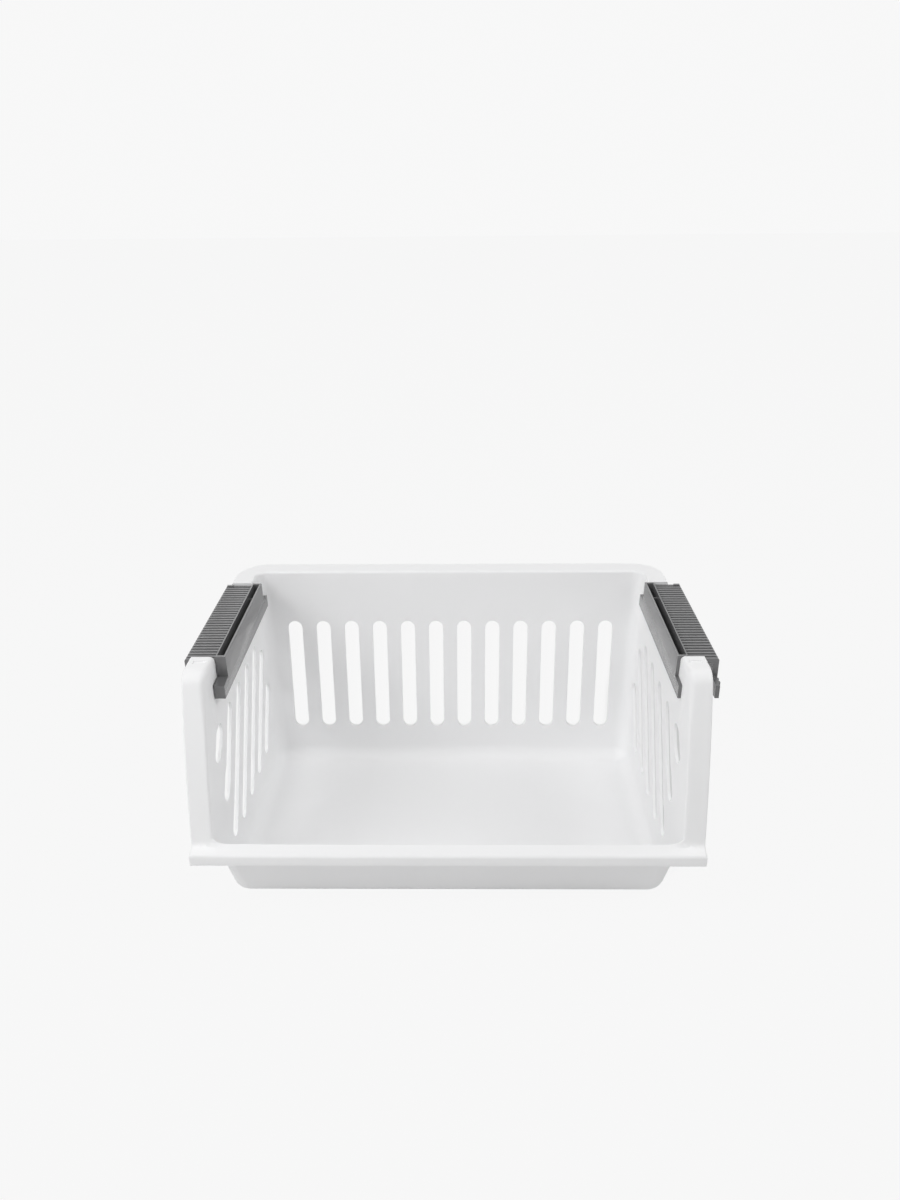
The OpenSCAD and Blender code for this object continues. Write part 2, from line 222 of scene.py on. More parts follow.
# side outline of post and lip, worked out from the nose of the lip backwards (y, z)
noseC = np.array([-backY + tub["noseRadius"], tub["lipHeight"] - tub["noseRadius"]])
lipUp = np.array([-math.sin(slope), math.cos(slope)])
lipAlong = np.array([math.cos(slope), math.sin(slope)])
hollowEnd = noseC + tub["noseRadius"] * lipUp + tub["lipRun"] * lipAlong
hollowC = hollowEnd + tub["footRadius"] * lipUp
footOut = np.array([-math.cos(leanFoot), math.sin(leanFoot)])
faceFoot = hollowC - tub["footRadius"] * footOut
bendZ = height - tub["postRadius"]
faceTopZ = bendZ + tub["postRadius"] * math.sin(leanTop)
faceR = (faceTopZ - faceFoot[1]) / (math.sin(leanTop) - math.sin(leanFoot))
faceC = faceFoot - faceR * footOut
bendY = faceC[0] - (faceR - tub["postRadius"]) * math.cos(leanTop)
seatFront = bendY + tub["postFlat"]

# unrolled distances along that outline: bend, face, hollow, then the straight lip
run0 = bendY
run1 = run0 - tub["postRadius"] * (math.pi / 2 - leanTop)
run2 = run1 - faceR * (leanTop - leanFoot)
run3 = run2 - tub["footRadius"] * (math.pi / 2 - leanFoot - slope)
runLip = run3 + (lipBack - hollowEnd[0]) / math.cos(slope)
runNose = run3 - (hollowEnd[0] + backY) / math.cos(slope)


def ribbon(x, run):
    # rim, post and lip as one unrolled band: flat, bend arc, long face arc, hollow arc, straight slope
    x, run = np.broadcast_arrays(np.asarray(x, float), np.asarray(run, float))
    bendR, footR = tub["postRadius"], tub["footRadius"]
    bend = math.pi / 2 + (run0 - run) / bendR
    face = math.pi - leanTop + (run1 - run) / faceR
    dip = math.pi - leanFoot - (run2 - run) / footR
    lipY = hollowEnd[0] + (run - run3) * lipAlong[0]
    lipZ = hollowEnd[1] + (run - run3) * lipAlong[1]
    where = [run >= run0, run >= run1, run >= run2, run >= run3]
    y = np.select(where, [run, bendY + bendR * np.cos(bend), faceC[0] + faceR * np.cos(face),
                          hollowC[0] - footR * np.cos(dip)], lipY)
    z = np.select(where, [0 * run + height, bendZ + bendR * np.sin(bend), faceC[1] + faceR * np.sin(face),
                          hollowC[1] - footR * np.sin(dip)], lipZ)
    # between the posts the lip stays straight instead of rising into the hollow
    rise = ramp(np.abs(x), *tub["hollowSpread"])
    near = (run > run3) & (run < run3 + tub["hollowReach"])
    y = np.where(near, ease(lipY, y, rise), y)
    z = np.where(near, ease(lipZ, z, rise), z)
    return np.stack([x, y, z], -1)


def ribbonUp(x, run):
    # normal of the band: cross product of its two slopes, each measured over a small step
    step = 0.02
    acrossX = ribbon(x + step, run) - ribbon(x - step, run)
    alongRun = ribbon(x, run + step) - ribbon(x, run - step)
    return unit(np.cross(acrossX, alongRun))


def rimLoop():
    # right half of the opening from the middle of the back to the middle of the lip, as columns:
    # inner edge x and run, outer edge x and run, wall direction, fillet centre x and y, draft,
    # inner edge size, outer edge size, skirt
    sideDraft, backDraft, frontDraft = tub["sideDraft"], tub["backDraft"], tub["frontDraft"]
    base = tub["baseRadius"]
    r = base - tub["wall"]
    ballX = sideIn(base) - r / math.cos(rad(sideDraft))
    ballBack = backIn(base) - r / math.cos(rad(backDraft))
    ballFront = frontIn(base) + r / math.cos(rad(frontDraft))
    small, big = tub["cornerRadius"], tub["rimCorner"]
    inX, inY = sideIn(height), backIn(height)
    wide, tall = tub["mouthCorner"]
    footX = half - tub["postBand"]
    mouthRun = runLip + tall
    rimE, postE, footE = tub["rimEdge"], tub["postEdge"], tub["footEdge"]
    lipE, outE = tub["lipEdge"], tub["outerEdge"]
    noseE = tub["noseRadius"] * math.tan((math.pi / 2 - slope) / 2)
    rimSkirt, lipSkirt = tub["rimSkirt"], tub["lipSkirt"]

    def columns(*parts):
        return np.stack(np.broadcast_arrays(*[np.asarray(part, float) for part in parts]), -1)

    def steps(start, end, name):
        return np.linspace(start, end, columnCounts[name], endpoint=False)

    t = steps(0, 1, "back")
    back = columns(t * (inX - small), inY, t * (half - big), backY, math.pi / 2, t * ballX, ballBack,
                   backDraft, rimE, outE, rimSkirt)
    t = steps(0, 1, "corner")
    a = math.pi / 2 * (1 - t)
    corner = columns(inX - small + small * np.cos(a), inY - small + small * np.sin(a),
                     half - big + big * np.cos(a), backY - big + big * np.sin(a), a, ballX, ballBack,
                     ease(backDraft, sideDraft, t), rimE, outE, rimSkirt)
    t = steps(0, 1, "side")
    kneeY = ballFront + tub["postStretch"]
    nearPost = ramp(t, 0.8, 1)
    side = columns(inX, ease(inY - small, run0, t), half, ease(backY - big, run0, t), 0, ballX,
                   ease(ballBack, kneeY, t), sideDraft, ease(rimE, postE, nearPost), outE, rimSkirt)
    runs = np.concatenate([steps(run0, run1, "bend"), steps(run1, mouthRun, "post")])
    t = (runs - run0) / (mouthRun - run0)
    # the walls spread out to the posts over the bend
    wallX = sideIn(ribbon(half, runs)[:, 2])
    edgeX = ease(wallX, footX, ramp(run0 - runs, 0, tub["postSpread"]))
    postEdges = ease(postE, footE, ramp(run0 - runs, *tub["edgeEase"]))
    post = columns(edgeX, runs, half, runs, 0, ballX, ease(kneeY, ballFront, t), sideDraft,
                   postEdges, outE, rimSkirt)
    # at the foot of the post the outer edge runs down, turns the tip of the lip and runs in
    t = steps(0, 1, "mouth")
    a = -math.pi / 2 * t
    tip = tub["lipTip"]
    legShare = 0.42  # of these columns, for each of the two straight runs
    goDown = np.clip(t / legShare, 0, 1)
    turnTip = -math.pi / 2 * np.clip((t - legShare) / (1 - 2 * legShare), 0, 1)
    goIn = np.clip((t - 1 + legShare) / legShare, 0, 1)
    fx = half - tip + tip * np.cos(turnTip) - goIn * (half - tip - footX + wide)
    fr = mouthRun - goDown * (mouthRun - runNose - tip) + tip * np.sin(turnTip)
    toLip = ramp(t, 0.1, 0.5)
    mouth = columns(footX - wide + wide * np.cos(a), mouthRun + tall * np.sin(a), fx, fr, a, ballX, ballFront,
                    ease(sideDraft, frontDraft, t), ease(footE, lipE, ramp(t, 0, 1)),
                    ease(outE, noseE, toLip), ease(rimSkirt, lipSkirt, toLip))
    t = np.linspace(1, 0, columnCounts["lip"])
    lip = columns(t * (footX - wide), runLip, t * (footX - wide), runNose, -math.pi / 2, t * ballX, ballFront,
                  frontDraft, lipE, noseE, lipSkirt)
    return np.concatenate([back, corner, side, post, mouth, lip])


def tubShell():
    # closed section carried round the opening: floor, fillet, inner wall, rounded edge, band, rounded edge,
    # skirt, underside of the band, outer wall, outer fillet, underside of the floor
    ex, er, fx, fr, turn, bx, by, draft, edge, outer, skirt = rimLoop().T
    wall, r = tub["wall"], tub["baseRadius"] - tub["wall"]
    filletSteps, edgeSteps, softSteps = 10, 8, 4
    nearEnds, halfAndEnd = [0.015, 0.985], [0.5, 1]
    bandShares = np.array([0, 0.08, 0.35, 0.65, 0.92, 1])[None, :]
    up = np.array([0, 0, 1])
    flat = np.stack([np.cos(turn), np.sin(turn), 0 * turn], -1)
    tilt = np.radians(draft)
    wallOut = unit(flat - np.tan(tilt)[:, None] * up)
    ball = np.stack([bx, by, 0 * bx + tub["baseRadius"]], -1)
    phi = ease(tilt[:, None], math.pi / 2, np.linspace(1, 0, filletSteps)[None, :])

    def fillet(radius, angles):
        outwards = flat[:, None] * np.cos(angles)[..., None] - up * np.sin(angles)[..., None]
        return ball[:, None] + radius * outwards

    size = np.hypot(fx - ex, fr - er)
    dirX, dirR = (fx - ex) / size, (fr - er) / size

    def band(fromIn, fromOut):
        # unrolled line from the inner to the outer edge, kept these distances off them
        x0, r0 = ex + fromIn * dirX, er + fromIn * dirR
        x1, r1 = fx - fromOut * dirX, fr - fromOut * dirR
        s = bandShares
        return x0[:, None] * (1 - s) + x1[:, None] * s, r0[:, None] * (1 - s) + r1[:, None] * s

    topX, topR = band(edge, outer)
    top = ribbon(topX, topR)
    innerEdge, outerEdge = ribbon(ex, er), ribbon(fx, fr)
    innerUp = ribbonUp(ex, er)
    wallUp = unit(innerUp - (innerUp * wallOut).sum(-1, keepdims=True) * wallOut)
    wallTop = innerEdge - edge[:, None] * wallUp
    # the skirt hangs square to the rim and the posts, and straight down from the lip
    lipShare = ramp(skirt, tub["rimSkirt"], tub["lipSkirt"])[:, None]
    down = unit(-ribbonUp(fx, fr) * (1 - lipShare) - up * lipShare)
    lowX, lowR = band(wall, thick)
    under = ribbon(lowX, lowR) - thick * ribbonUp(lowX, lowR)
    skirtTop = outerEdge + outer[:, None] * down
    skirtEnd = outerEdge + skirt[:, None] * down
    skirtBack = under[:, -1] + (skirt - thick)[:, None] * down
    inward = unit(skirtBack - skirtEnd)
    softDown, softIn = tub["skirtEdge"] * down, tub["skirtEdge"] * inward
    inner = fillet(r, phi)
    outerBase = fillet(r + wall, phi[:, ::-1])
    rows = [
        inner,
        straight(inner[:, -1], wallTop, nearEnds),
        roundCorner(wallTop, innerEdge, top[:, 0], edgeSteps),
        top[:, 1:-1],
        roundCorner(top[:, -1], outerEdge, skirtTop, edgeSteps),
        straight(skirtTop, skirtEnd - softDown, halfAndEnd),
        roundCorner(skirtEnd - softDown, skirtEnd, skirtEnd + softIn, softSteps)[:, 1:],
        roundCorner(skirtBack - softIn, skirtBack, skirtBack - softDown, softSteps),
        straight(skirtBack - softDown, under[:, -1], halfAndEnd),
        under[:, -2::-1],
        straight(under[:, 0], outerBase[:, 0], nearEnds),
        outerBase,
    ]
    right = np.concatenate(rows, axis=1)
    left = right[-2:0:-1] * np.array([-1, 1, 1])
    grid = np.concatenate([right, left])
    n, m = grid.shape[:2]
    floors = [list(range(0, n * m, m)), list(range(m - 1, n * m, m))]
    return meshObject("basketTub", grid, gridFaces(n, m, closedRows=True) + floors)


# vent slots, cut through the walls from inside
slots = {
    "width": 12, "backCount": 12, "backPitch": 23.8, "top": 44, "bottom": 143.5,
    "sideTop": 48, "sideBottom": 145, "sidePitch": 29.1, "slant": 34.5, "ahead": 26.6, "lean": 8,
    "behind": 40.3, "lead": 18.8, "edge": 0.4, "flareReach": 0.8, "pastSide": 8, "pastBack": 1,
}


def stadium(tipA, tipB, grow):
    # round-ended slot between two tips: half circles about the two end centres, grown by a margin
    tipA, tipB = np.asarray(tipA, float), np.asarray(tipB, float)
    radius = slots["width"] / 2
    along = (tipB - tipA) / np.linalg.norm(tipB - tipA)
    a = np.linspace(-math.pi / 2, math.pi / 2, 24)
    side = np.array([-along[1], along[0]])
    cap = np.cos(a)[:, None] * along + np.sin(a)[:, None] * side
    wide = radius + grow
    return np.concatenate([tipB - radius * along + wide * cap, tipA + radius * along - wide * cap])


def slotTool(name, tips, place, group, past):
    # the cutter flares at the wall's inner face, which leaves each slot with a small rounded edge
    edge, reach = slots["edge"], slots["flareReach"]
    arc = np.radians([28, 44, 59, 74, 90])
    depth, grow = edge * (1 - np.cos(arc)), edge * (1 - np.sin(arc))
    flare = grow[0] + (depth[0] + reach) / math.tan(arc[0])
    depths = np.concatenate([[-reach], depth, [tub["wall"] + past]])
    rings = np.stack([stadium(*tips, g) for g in (flare, *grow, 0)])
    return sweptTool(name, rings, depths, place, group)


def sideSlotTips():
    # slanted slots of a side wall as (y, z) tips, each shortened to the slotted stretch of the wall
    y0, y1 = seatFront - slots["ahead"], backY - slots["behind"]
    z0, z1 = height - slots["sideBottom"], height - slots["sideTop"]
    lean = math.tan(rad(slots["slant"]))
    ends = lean + math.tan(rad(slots["lean"]))
    tips = []
    for topY in np.arange(y0 + slots["lead"], y1 - slots["width"] + (z1 - z0) * lean, slots["sidePitch"]):
        low = max(z0, z1 - (topY - y0) / ends)
        high = min(z1, z1 - (topY - y1) / ends)
        tips.append([(topY - (z1 - z) * lean, z) for z in (low, high)])
    return tips


def backSlotTips():
    # upright slots of the back wall as (x, z) tips, spread evenly from the middle
    places = (np.arange(slots["backCount"]) - (slots["backCount"] - 1) / 2) * slots["backPitch"]
    return [[(x, height - slots["bottom"]), (x, height - slots["top"])] for x in places]


# stacking clip, and the seat that it slides in
clip = {
    "behind": 41, "foot": 12.4, "legDrop": 25.7, "footRoot": 15.3, "footTip": 16.1,
    "innerLeg": 7.4, "outerLeg": 2.8, "plate": 2.2, "plateDrop": 2, "shoulder": 1.5, "legEdge": 0.5,
    "ribHigh": 1.1, "ribPitch": 4.13, "ribWide": 2.2, "ribFlank": 0.08, "ribBrow": 0.25, "ribStart": 0.01,
    "groove": 4.9, "fence": 1.2, "fenceEdge": 0.3, "grooveDrop": 20, "grooveEnd": 2,
    "webBack": 19, "web": 1.4, "webDrop": 5, "cutAcross": (140, 190), "cutPast": 6,
    "nub": (4.6, 2.4, 0.8), "nubInset": 1, "nubRoot": 0.3, "nubBack": 0.02, "travel": 5.5,
    "wallGap": 0.35, "edgeGap": 0.5, "endGap": 0.35, "seatGap": 0.2, "sharpAngle": 32,
}
seat = {
    "blockFrom": 0.9, "blockDrop": 0.5, "roomIn": 8, "cutAbove": 4, "cutPast": 3,
    "shelfLap": 1, "shelfProud": 2, "rimInset": 0.05,
}
clipFront = seatFront + clip["endGap"]
clipBack = backY - clip["behind"]
footFront, footBack = clipFront - clip["foot"], clipBack + clip["foot"]
rootZ, tipZ, legsZ = height - clip["footRoot"], height - clip["footTip"], height - clip["legDrop"]
ribsZ = height - clip["plateDrop"]
plateZ = ribsZ - clip["ribHigh"]
underZ = plateZ - clip["plate"]
seatZ = underZ - clip["seatGap"]
outerLegX = half + clip["edgeGap"]
plateX = outerLegX + clip["outerLeg"]


def clipOutline(margin, topZ):
    # side outline of a clip (y, z), grown by a margin: long top, a foot at each end of the legs
    y0, y1 = clipFront - margin, clipBack + margin
    root, tip, low = rootZ + margin, tipZ + margin, legsZ - margin
    foot = clip["foot"]
    return np.array([[y0, topZ], [y0, root], [y0 - foot, tip], [y0 - foot, low],
                     [y1 + foot, low], [y1 + foot, tip], [y1, root], [y1, topZ]])


def basketTub():
    body = tubShell()
    added, removed = toolGroup("added"), toolGroup("removed")
    seatBack = clipBack + clip["endGap"]
    topIn, rimFace = sideIn(height), half - seat["rimInset"]
    cutTop = height + seat["cutAbove"]
    dentWide, dentDeep, dentSunk = tub["dent"]
    for side in (1, -1):
        def besideWall(p, q, depth):
            # p and q are y and z, the depth is counted outwards from the wall's inner face
            return np.stack([side * (sideIn(q) + depth), p, q], -1)

        blockOutline = clipOutline(clip["endGap"] + tub["wall"], seatZ - seat["blockDrop"])
        blockDepths = [seat["blockFrom"], clip["travel"] + tub["wall"]]
        prism("pocketBlock", blockOutline, blockDepths, besideWall, added)
        roomOutline = clipOutline(clip["endGap"], cutTop)
        prism("pocketRoom", roomOutline, [-seat["roomIn"], clip["travel"]], besideWall, removed)
        shelfX, shelfY = span(side, topIn + seat["shelfLap"], rimFace), (seatFront - thick, seatBack + thick)
        box("seatShelf", shelfX, shelfY, (seatZ - thick, seatZ + seat["shelfProud"]), added)
        box("seatEdge", span(side, half - thick, rimFace), shelfY, (seatZ - tub["rimSkirt"], seatZ), added)
        cutX = span(side, topIn - seat["cutPast"], half + seat["cutPast"])
        box("seatCut", cutX, (seatFront, seatBack), (seatZ, cutTop), removed)
        dentX = (topIn + half) / 2 * side + dentWide * np.array([-0.5, 0.5])
        dentY = bendY + tub["postFlat"] / 2 + dentDeep * np.array([-0.5, 0.5])
        box("postDent", dentX, dentY, (height - dentSunk, cutTop), removed)
        for tips in sideSlotTips():
            slotTool("sideSlot", tips, besideWall, removed, slots["pastSide"])

    def besideBack(p, q, depth):
        # p and q are x and z, the depth is counted outwards from the back wall's inner face
        return np.stack([p, backIn(q) + depth, q], -1)

    for tips in backSlotTips():
        slotTool("backSlot", tips, besideBack, removed, slots["pastBack"])
    carve(body, added, removed)
    smoothFaces(body, tub["sharpAngle"])
    return body


def legWall(z):
    # outer face of a clip's inner leg, a gap inside the basket's wall
    return sideIn(z) - clip["wallGap"]


def clipSection():
    # closed section (x, z): ribbed plate, shoulder arc and outer leg, then the plain underside and inner leg;
    # the second array is the way that each point moves on a rib
    fenceX, fenceEdge = legWall(height), clip["fenceEdge"]
    inTop, inLow = legWall(height) - clip["innerLeg"], legWall(legsZ) - clip["innerLeg"]
    edge, bulge = clip["legEdge"], 0.3 * clip["legEdge"]
    shoulder = clip["shoulder"] - clip["ribHigh"]
    a = np.linspace(math.pi / 2, 0, 7)
    arcOut = np.stack([np.cos(a), np.sin(a)], -1)
    arcPart = np.array([plateX - shoulder, plateZ - shoulder]) + shoulder * arcOut
    ribFoot = [[fenceX, plateZ], [fenceX + clip["ribStart"], plateZ]]
    ribbed = np.concatenate([ribFoot, arcPart, [[plateX, legsZ]]])
    ribbedOut = np.concatenate([[[0, 0], [0, 1]], arcOut, [[1, 0]]])
    plain = np.array([
        [outerLegX, legsZ], [outerLegX, underZ], [legWall(underZ), underZ], [legWall(legsZ), legsZ],
        [inLow + edge, legsZ], [inLow + bulge, legsZ + bulge], [inLow, legsZ + edge],
        [inTop, height - edge], [inTop + bulge, height - bulge], [inTop + edge, height],
        [fenceX - fenceEdge, height], [fenceX, height - fenceEdge]])
    return np.concatenate([ribbed, plain]), np.concatenate([ribbedOut, 0 * plain])


def ribStations():
    # places along the clip and how far the section swells there: each rib rises, stays and falls
    count = 2 * int((footBack - footFront - clip["ribWide"]) / clip["ribPitch"] / 2) + 1
    ribs = (footFront + footBack) / 2 + (np.arange(count) - (count - 1) / 2) * clip["ribPitch"]
    rising = np.array([-clip["ribFlank"], 0, clip["ribFlank"], clip["ribBrow"]]) - clip["ribWide"] / 2
    rise = np.array([0, 0.5, 0.86, 1])
    across = ribs[:, None] + np.concatenate([rising, -rising[::-1]])
    swell = np.tile(np.concatenate([rise, rise[::-1]]), count)
    ys = np.concatenate([[footFront], across.ravel(), [footBack]])
    lift = np.concatenate([[0], swell, [0]]) * clip["ribHigh"]
    inside = (ys >= footFront) & (ys <= footBack)
    return ys[inside], lift[inside]


def clipBar(name, side, shift):
    # the section is carried along the clip, its ends are cut to feet and the groove is cut from the top
    section, out = clipSection()
    ys, lift = ribStations()
    flat = section[None] + out[None] * lift[:, None, None]
    grid = np.stack([side * flat[..., 0] + shift, ys[:, None] + 0 * flat[..., 0], flat[..., 1]], -1)
    bar = meshObject(name, grid, tubeFaces(*grid.shape[:2]))
    added, removed = toolGroup("added"), toolGroup("removed")
    past = clip["cutPast"]
    cutTop = height + past

    def alongX(p, q, depth):
        return np.stack([side * depth + shift, p, q], -1)

    def alongY(p, q, depth):
        return np.stack([side * p + shift, depth, q], -1)

    ledgeZ = tipZ - (rootZ - tipZ) / clip["foot"] * past
    for end, farY in ((clipFront, footFront - past), (clipBack, footBack + past)):
        outline = np.array([[end, cutTop], [end, rootZ], [farY, ledgeZ], [farY, cutTop]])
        prism("endCut", outline, clip["cutAcross"], alongX, removed)
    webY, webHalf, deep = clipBack - clip["webBack"], clip["web"] / 2, clip["grooveDrop"]
    start, stop = clipFront + clip["grooveEnd"], clipBack - clip["grooveEnd"]
    stretches = ((start, webY - webHalf, deep), (webY + webHalf, stop, deep), (start, stop, clip["webDrop"]))
    for low, high, drop in stretches:
        z0 = height - drop
        x0, x1 = legWall(z0) - clip["fence"], legWall(cutTop) - clip["fence"]
        groove = np.array([[x0 - clip["groove"], z0], [x1 - clip["groove"], cutTop], [x1, cutTop], [x0, z0]])
        prism("groove", groove, [low, high], alongY, removed)
    nubWide, nubLong, nubHigh = clip["nub"]
    nubX = plateX + clip["ribHigh"] - clip["nubInset"]
    box("nub", span(side, nubX - nubWide, nubX, shift), (clipBack - nubLong, clipBack - clip["nubBack"]),
        (underZ + clip["nubRoot"], ribsZ + nubHigh), added)
    carve(bar, added, removed)
    smoothFaces(bar, clip["sharpAngle"])
    return bar


basket = basketTub()
print("basket tub", len(basket.data.polygons), "faces")
leftClip = clipBar("leftClip", -1, 0)  # pushed in
rightClip = clipBar("rightClip", 1, clip["travel"])  # pulled out
print("clips", len(leftClip.data.polygons), len(rightClip.data.polygons), "faces")


# finishes
whiteLook = {
    "tints": ((0.922, 0.923, 0.928), (0.934, 0.935, 0.939)), "rough": (0.50, 0.58), "shine": 0.35,
    "skin": 900, "wave": 12, "bump": 0.1, "bumpDepth": 0.0004,
}
greyLook = {
    "tints": ((0.158, 0.158, 0.161), (0.176, 0.176, 0.179)), "rough": (0.14, 0.21), "shine": 0.75,
    "skin": 1400, "wave": 40, "bump": 0.15, "bumpDepth": 0.0003,
}
plasticIor = 1.49


def link(tree, out, socket):
    tree.links.new(out, socket)


def mathNode(tree, operation):
    made = tree.nodes.new("ShaderNodeMath")
    made.operation = operation
    return made


def mouldedGrain():
    # shared group: fine skin on slow waviness, as a bump height, and the waviness alone as a mask
    group = bpy.data.node_groups.new("mouldedGrain", "ShaderNodeTree")
    face = group.interface
    face.new_socket("Skin", in_out="INPUT", socket_type="NodeSocketFloat")
    face.new_socket("Wave", in_out="INPUT", socket_type="NodeSocketFloat")
    face.new_socket("Height", in_out="OUTPUT", socket_type="NodeSocketFloat")
    face.new_socket("Mask", in_out="OUTPUT", socket_type="NodeSocketFloat")
    nodes = group.nodes
    start, end = nodes.new("NodeGroupInput"), nodes.new("NodeGroupOutput")
    coord = nodes.new("ShaderNodeTexCoord")
    skin, wave = nodes.new("ShaderNodeTexNoise"), nodes.new("ShaderNodeTexNoise")
    skin.inputs["Detail"].default_value = 3
    wave.inputs["Detail"].default_value = 2
    mix = mathNode(group, "MULTIPLY_ADD")
    mix.inputs[1].default_value = 0.25  # share of the skin in the height
    for noise, name in ((skin, "Skin"), (wave, "Wave")):
        link(group, coord.outputs["Object"], noise.inputs["Vector"])
        link(group, start.outputs[name], noise.inputs["Scale"])
    link(group, skin.outputs["Fac"], mix.inputs[0])
    link(group, wave.outputs["Fac"], mix.inputs[2])
    link(group, mix.outputs[0], end.inputs["Height"])
    link(group, wave.outputs["Fac"], end.inputs["Mask"])
    return group


grain = mouldedGrain()


def plastic(name, look):
    # colour and gloss drift slowly over the surface, and the fine skin breaks the highlights
    made = bpy.data.materials.new(name)
    made.use_nodes = True
    tree = made.node_tree
    shader = tree.nodes["Principled BSDF"]
    shader.inputs["IOR"].default_value = plasticIor
    shader.inputs["Specular IOR Level"].default_value = look["shine"]
    use = tree.nodes.new("ShaderNodeGroup")
    use.node_tree = grain
    use.inputs["Skin"].default_value = look["skin"]
    use.inputs["Wave"].default_value = look["wave"]
    tint = tree.nodes.new("ShaderNodeMix")
    tint.data_type = "RGBA"
    rough = tree.nodes.new("ShaderNodeMapRange")
    for socket, colour in zip("AB", look["tints"]):
        tint.inputs[socket].default_value = (*colour, 1)
    for socket, value in zip(("To Min", "To Max"), look["rough"]):
        rough.inputs[socket].default_value = value
    relief = tree.nodes.new("ShaderNodeBump")
    relief.inputs["Strength"].default_value = look["bump"]
    relief.inputs["Distance"].default_value = look["bumpDepth"]
    link(tree, use.outputs["Mask"], tint.inputs["Factor"])
    link(tree, use.outputs["Mask"], rough.inputs["Value"])
    link(tree, use.outputs["Height"], relief.inputs["Height"])
    link(tree, tint.outputs["Result"], shader.inputs["Base Color"])
    link(tree, rough.outputs["Result"], shader.inputs["Roughness"])
    link(tree, relief.outputs["Normal"], shader.inputs["Normal"])
    return made


whitePlastic = plastic("whitePlastic", whiteLook)
greyPlastic = plastic("greyPlastic", greyLook)
for piece, finish, body, node, slot in (
        (basket, whitePlastic, "basket", "basket_body", "white_plastic"),
        (leftClip, greyPlastic, "left_clip", "left_clip", "grey_plastic"),
        (rightClip, greyPlastic, "right_clip", "right_clip", "grey_plastic")):
    piece.data.materials.clear()
    piece.data.materials.append(finish)
    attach(piece, body)
    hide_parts(node)
print("finishes and riding done")


# floor, light and camera (metres, watts and degrees, the floor's own size in mm)
studio = {
    "paper": 0.935, "ambient": 0.34, "floor": 0.84, "floorRough": 0.9, "floorShine": 0.1,
    "floorReach": 8000, "floorDrop": 0.3, "paperShare": 0.98,
    "shade": (0.189, 0.15, 0), "shadeTurn": -0.139, "shadeSpread": (0.046, 0.225, 1), "shadeFade": (0.62, 1),
}
lamps = {
    "leftLamp": {"place": (-1.0, -0.6, 1.2), "aim": (0, 0, 0.1), "size": 0.9, "power": 9.8},
    "rightLamp": {"place": (1.0, -0.1, 1.2), "aim": (0, 0, 0.1), "size": 0.9, "power": 6.2},
    "topLamp": {"place": (0, -0.6, 1.5), "aim": (0, 0, 0.1), "size": 1.4, "power": 2.2},
    "lowLamp": {"place": (-1.1, -1.3, 0.45), "aim": (0, 0, 0.1), "size": 0.8, "power": 1.7},
    "backLamp": {"place": (-0.3, 3.0, 1.65), "aim": (0, 0, 0.15), "size": 1.6, "power": 4},
}
photoView = {
    "lens": 27.9, "sensor": 36, "place": (0.012, -0.6114, 0.4719),
    "tilt": 65.492, "roll": 0.495, "turn": 0.733,
}


def grey(level):
    return level, level, level, 1


def paperRays(tree):
    # 1 for rays that see the paper, directly or in a surface, and 0 for those that light the object
    path = tree.nodes.new("ShaderNodeLightPath")
    seen = path.outputs["Is Camera Ray"]
    for kind in ("Is Glossy Ray", "Is Transmission Ray"):
        most = mathNode(tree, "MAXIMUM")
        link(tree, seen, most.inputs[0])
        link(tree, path.outputs[kind], most.inputs[1])
        seen = most.outputs[0]
    return seen


def paperMaterial():
    # paper colour for the rays that see it, except in a soft oval beside the right wall, which keeps the
    # real shadow; elsewhere a small share of the shadow is left
    made = bpy.data.materials.new("paper")
    made.use_nodes = True
    tree = made.node_tree
    shader, out = tree.nodes["Principled BSDF"], tree.nodes["Material Output"]
    shader.inputs["Base Color"].default_value = grey(studio["floor"])
    shader.inputs["Roughness"].default_value = studio["floorRough"]
    shader.inputs["Specular IOR Level"].default_value = studio["floorShine"]
    glow = tree.nodes.new("ShaderNodeEmission")
    glow.inputs["Color"].default_value = grey(studio["paper"])
    coord = tree.nodes.new("ShaderNodeTexCoord")
    oval = tree.nodes.new("ShaderNodeMapping")
    oval.vector_type = "TEXTURE"
    oval.inputs["Location"].default_value = studio["shade"]
    oval.inputs["Rotation"].default_value = (0, 0, studio["shadeTurn"])
    oval.inputs["Scale"].default_value = studio["shadeSpread"]
    reach = tree.nodes.new("ShaderNodeVectorMath")
    reach.operation = "LENGTH"
    fade = tree.nodes.new("ShaderNodeMapRange")
    fade.interpolation_type = "SMOOTHSTEP"
    fade.inputs["From Min"].default_value, fade.inputs["From Max"].default_value = studio["shadeFade"]
    fade.inputs["To Min"].default_value, fade.inputs["To Max"].default_value = 0, studio["paperShare"]
    share = mathNode(tree, "MULTIPLY")
    mix = tree.nodes.new("ShaderNodeMixShader")
    link(tree, coord.outputs["Object"], oval.inputs["Vector"])
    link(tree, oval.outputs["Vector"], reach.inputs[0])
    link(tree, reach.outputs["Value"], fade.inputs["Value"])
    link(tree, paperRays(tree), share.inputs[0])
    link(tree, fade.outputs["Result"], share.inputs[1])
    link(tree, share.outputs[0], mix.inputs["Fac"])
    link(tree, shader.outputs["BSDF"], mix.inputs[1])
    link(tree, glow.outputs["Emission"], mix.inputs[2])
    link(tree, mix.outputs["Shader"], out.inputs["Surface"])
    return made


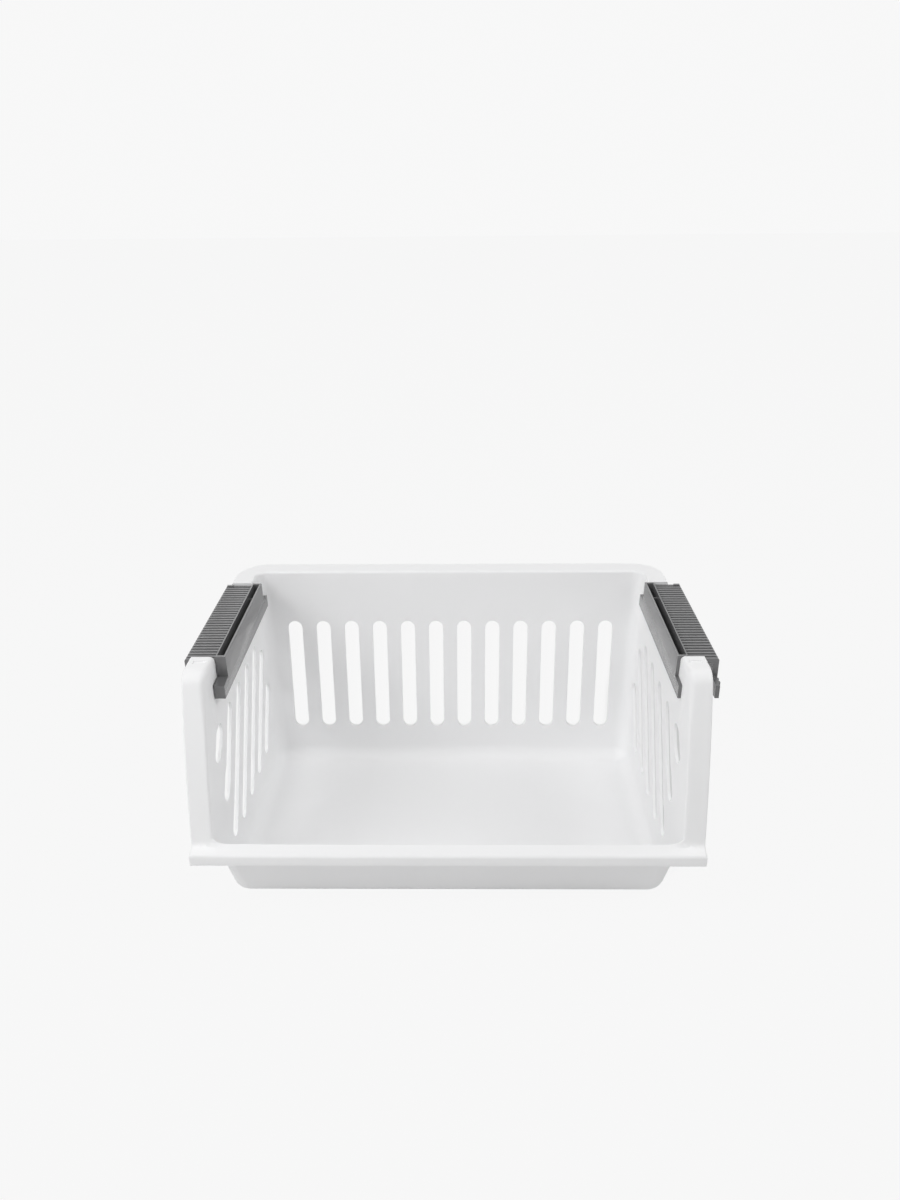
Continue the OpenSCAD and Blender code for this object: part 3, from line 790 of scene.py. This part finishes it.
def paperFloor():
    ends = np.array([-studio["floorReach"], studio["floorReach"]])
    flat = np.full((2, 2), -studio["floorDrop"])
    grid = np.stack([*np.meshgrid(ends, ends, indexing="ij"), flat], -1)
    floor = meshObject("paperFloor", grid, gridFaces(2, 2))
    floor.data.materials.append(paperMaterial())


def paperWorld():
    # even room light on the object, and the paper colour for rays that see the room
    world = bpy.data.worlds.new("studio")
    bpy.context.scene.world = world
    world.use_nodes = True
    tree = world.node_tree
    room, out = tree.nodes["Background"], tree.nodes["World Output"]
    room.inputs["Color"].default_value = grey(1)
    room.inputs["Strength"].default_value = studio["ambient"]
    paper = tree.nodes.new("ShaderNodeBackground")
    paper.inputs["Color"].default_value = grey(studio["paper"])
    mix = tree.nodes.new("ShaderNodeMixShader")
    link(tree, paperRays(tree), mix.inputs["Fac"])
    link(tree, room.outputs["Background"], mix.inputs[1])
    link(tree, paper.outputs["Background"], mix.inputs[2])
    link(tree, mix.outputs["Shader"], out.inputs["Surface"])


def softLamp(name, place, aim, size, power):
    # round lamp whose back points away from the aim
    lamp = bpy.data.lights.new(name, "AREA")
    lamp.shape, lamp.size, lamp.energy = "DISK", size, power
    holder = bpy.data.objects.new(name, lamp)
    bpy.context.scene.collection.objects.link(holder)
    back = unit(np.asarray(place, float) - np.asarray(aim, float))
    right = unit(np.cross([0, 0, 1], back))
    turn = np.eye(4)
    turn[:3, :3] = np.stack([right, np.cross(back, right), back], -1)
    turn[:3, 3] = place
    holder.matrix_world = Matrix(turn.tolist())


def photoCamera():
    data = bpy.data.cameras.new("photoCamera")
    data.sensor_width, data.lens = photoView["sensor"], photoView["lens"]
    camera = bpy.data.objects.new("photoCamera", data)
    bpy.context.scene.collection.objects.link(camera)
    angles = Euler([rad(photoView[name]) for name in ("tilt", "roll", "turn")])
    camera.matrix_world = Matrix.Translation(photoView["place"]) @ angles.to_matrix().to_4x4()
    return camera


paperFloor()
paperWorld()
for name, lamp in lamps.items():
    softLamp(name, **lamp)
bpy.context.scene.camera = photoCamera()
bpy.context.scene.view_settings.view_transform = "Standard"
print("floor, lamps and camera set")
